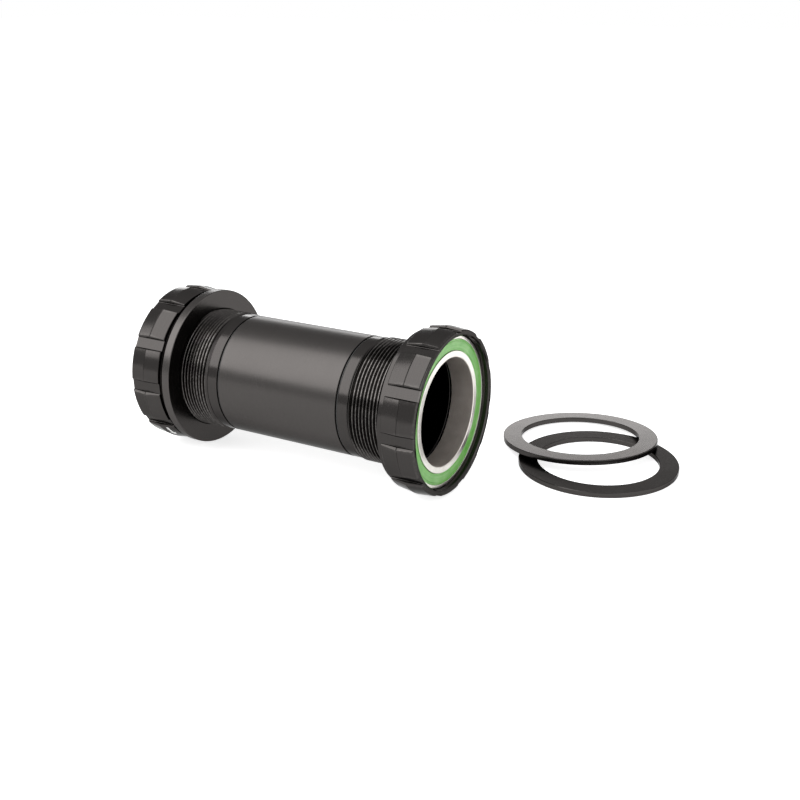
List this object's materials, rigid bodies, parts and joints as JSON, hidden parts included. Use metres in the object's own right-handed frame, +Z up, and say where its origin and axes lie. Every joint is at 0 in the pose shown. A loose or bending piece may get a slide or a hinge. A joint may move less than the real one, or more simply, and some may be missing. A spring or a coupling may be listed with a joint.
{
  "type": "bottom bracket",
  "caption": "Threaded bottom bracket: two notched cups with sealed ball bearings and external threads on a centre sleeve, with shell spacers; carries a crank spindle in a frame shell.",
  "frame": {"origin": "on the spindle axis, midway between the two faces of the frame's shell", "axes": "+X along the spindle towards the non-drive side, +Z up, -Y towards the front of the object as it lies"},
  "size_m": [0.1441, 0.0962, 0.0464],
  "materials": {
    "black_anodised": "black anodised, satin",
    "spacer_anodised": "black anodised, satin",
    "bearing_steel": "ground",
    "ball_steel": "polished",
    "cage_nylon": "moulded",
    "green_seal": "moulded",
    "black_seal": "moulded",
    "seal_ring_rubber": "moulded"
  },
  "bodies": {
    "sleeve": {"centre_sleeve": "black_anodised"},
    "drive_seal_ring": {"drive_sleeve_seal_ring": "seal_ring_rubber"},
    "non_drive_seal_ring": {"non_drive_sleeve_seal_ring": "seal_ring_rubber"},
    "drive_cup": {"drive_cup": "black_anodised", "drive_outer_race": "bearing_steel", "drive_outer_seal": "green_seal", "drive_inner_seal": "black_seal"},
    "non_drive_cup": {"non_drive_cup": "black_anodised", "non_drive_outer_race": "bearing_steel", "non_drive_outer_seal": "green_seal", "non_drive_inner_seal": "black_seal"},
    "drive_inner_race": {"drive_inner_race": "bearing_steel"},
    "non_drive_inner_race": {"non_drive_inner_race": "bearing_steel"},
    "drive_ball_set": {"drive_bearing_balls": "ball_steel", "drive_ball_cage": "cage_nylon"},
    "non_drive_ball_set": {"non_drive_bearing_balls": "ball_steel", "non_drive_ball_cage": "cage_nylon"},
    "drive_shell_spacer": {"drive_shell_spacer": "spacer_anodised"},
    "loose_spacer_lower": {"loose_spacer_lower": "spacer_anodised"},
    "loose_spacer_upper": {"loose_spacer_upper": "spacer_anodised"}
  },
  "joints": [
    {"name": "drive_cup_turn", "type": "hinge", "parent": "sleeve", "child": "drive_seal_ring", "pos_m": [0, 0, 0], "axis": [1, 0, 0], "continuous": true},
    {"name": "drive_cup_pull", "type": "slide", "parent": "drive_seal_ring", "child": "drive_cup", "axis": [-1, 0, 0], "range_m": [0, 0.012]},
    {"name": "drive_bearing_spin", "type": "hinge", "parent": "drive_cup", "child": "drive_inner_race", "pos_m": [0, 0, 0], "axis": [1, 0, 0], "continuous": true},
    {"name": "drive_ball_orbit", "type": "hinge", "parent": "drive_cup", "child": "drive_ball_set", "pos_m": [0, 0, 0], "axis": [1, 0, 0], "continuous": true},
    {"name": "non_drive_cup_turn", "type": "hinge", "parent": "sleeve", "child": "non_drive_seal_ring", "pos_m": [0, 0, 0], "axis": [1, 0, 0], "continuous": true},
    {"name": "non_drive_cup_pull", "type": "slide", "parent": "non_drive_seal_ring", "child": "non_drive_cup", "axis": [1, 0, 0], "range_m": [0, 0.012]},
    {"name": "non_drive_bearing_spin", "type": "hinge", "parent": "non_drive_cup", "child": "non_drive_inner_race", "pos_m": [0, 0, 0], "axis": [1, 0, 0], "continuous": true},
    {"name": "non_drive_ball_orbit", "type": "hinge", "parent": "non_drive_cup", "child": "non_drive_ball_set", "pos_m": [0, 0, 0], "axis": [1, 0, 0], "continuous": true},
    {"name": "drive_spacer_slide", "type": "slide", "parent": "drive_cup", "child": "drive_shell_spacer", "axis": [1, 0, 0], "range_m": [0, 0.0677]},
    {"name": "lower_spacer_draw", "type": "slide", "parent": "sleeve", "child": "loose_spacer_lower", "axis": [0.6561, -0.7547, 0], "range_m": [0, 0.06]},
    {"name": "upper_spacer_lift", "type": "slide", "parent": "sleeve", "child": "loose_spacer_upper", "axis": [0, 0, 1], "range_m": [0, 0.04]}
  ],
  "couplings": [
    {"joint": "drive_ball_orbit", "follows": "drive_bearing_spin", "ratio": 0.45139},
    {"joint": "non_drive_ball_orbit", "follows": "non_drive_bearing_spin", "ratio": 0.45139}
  ]
}
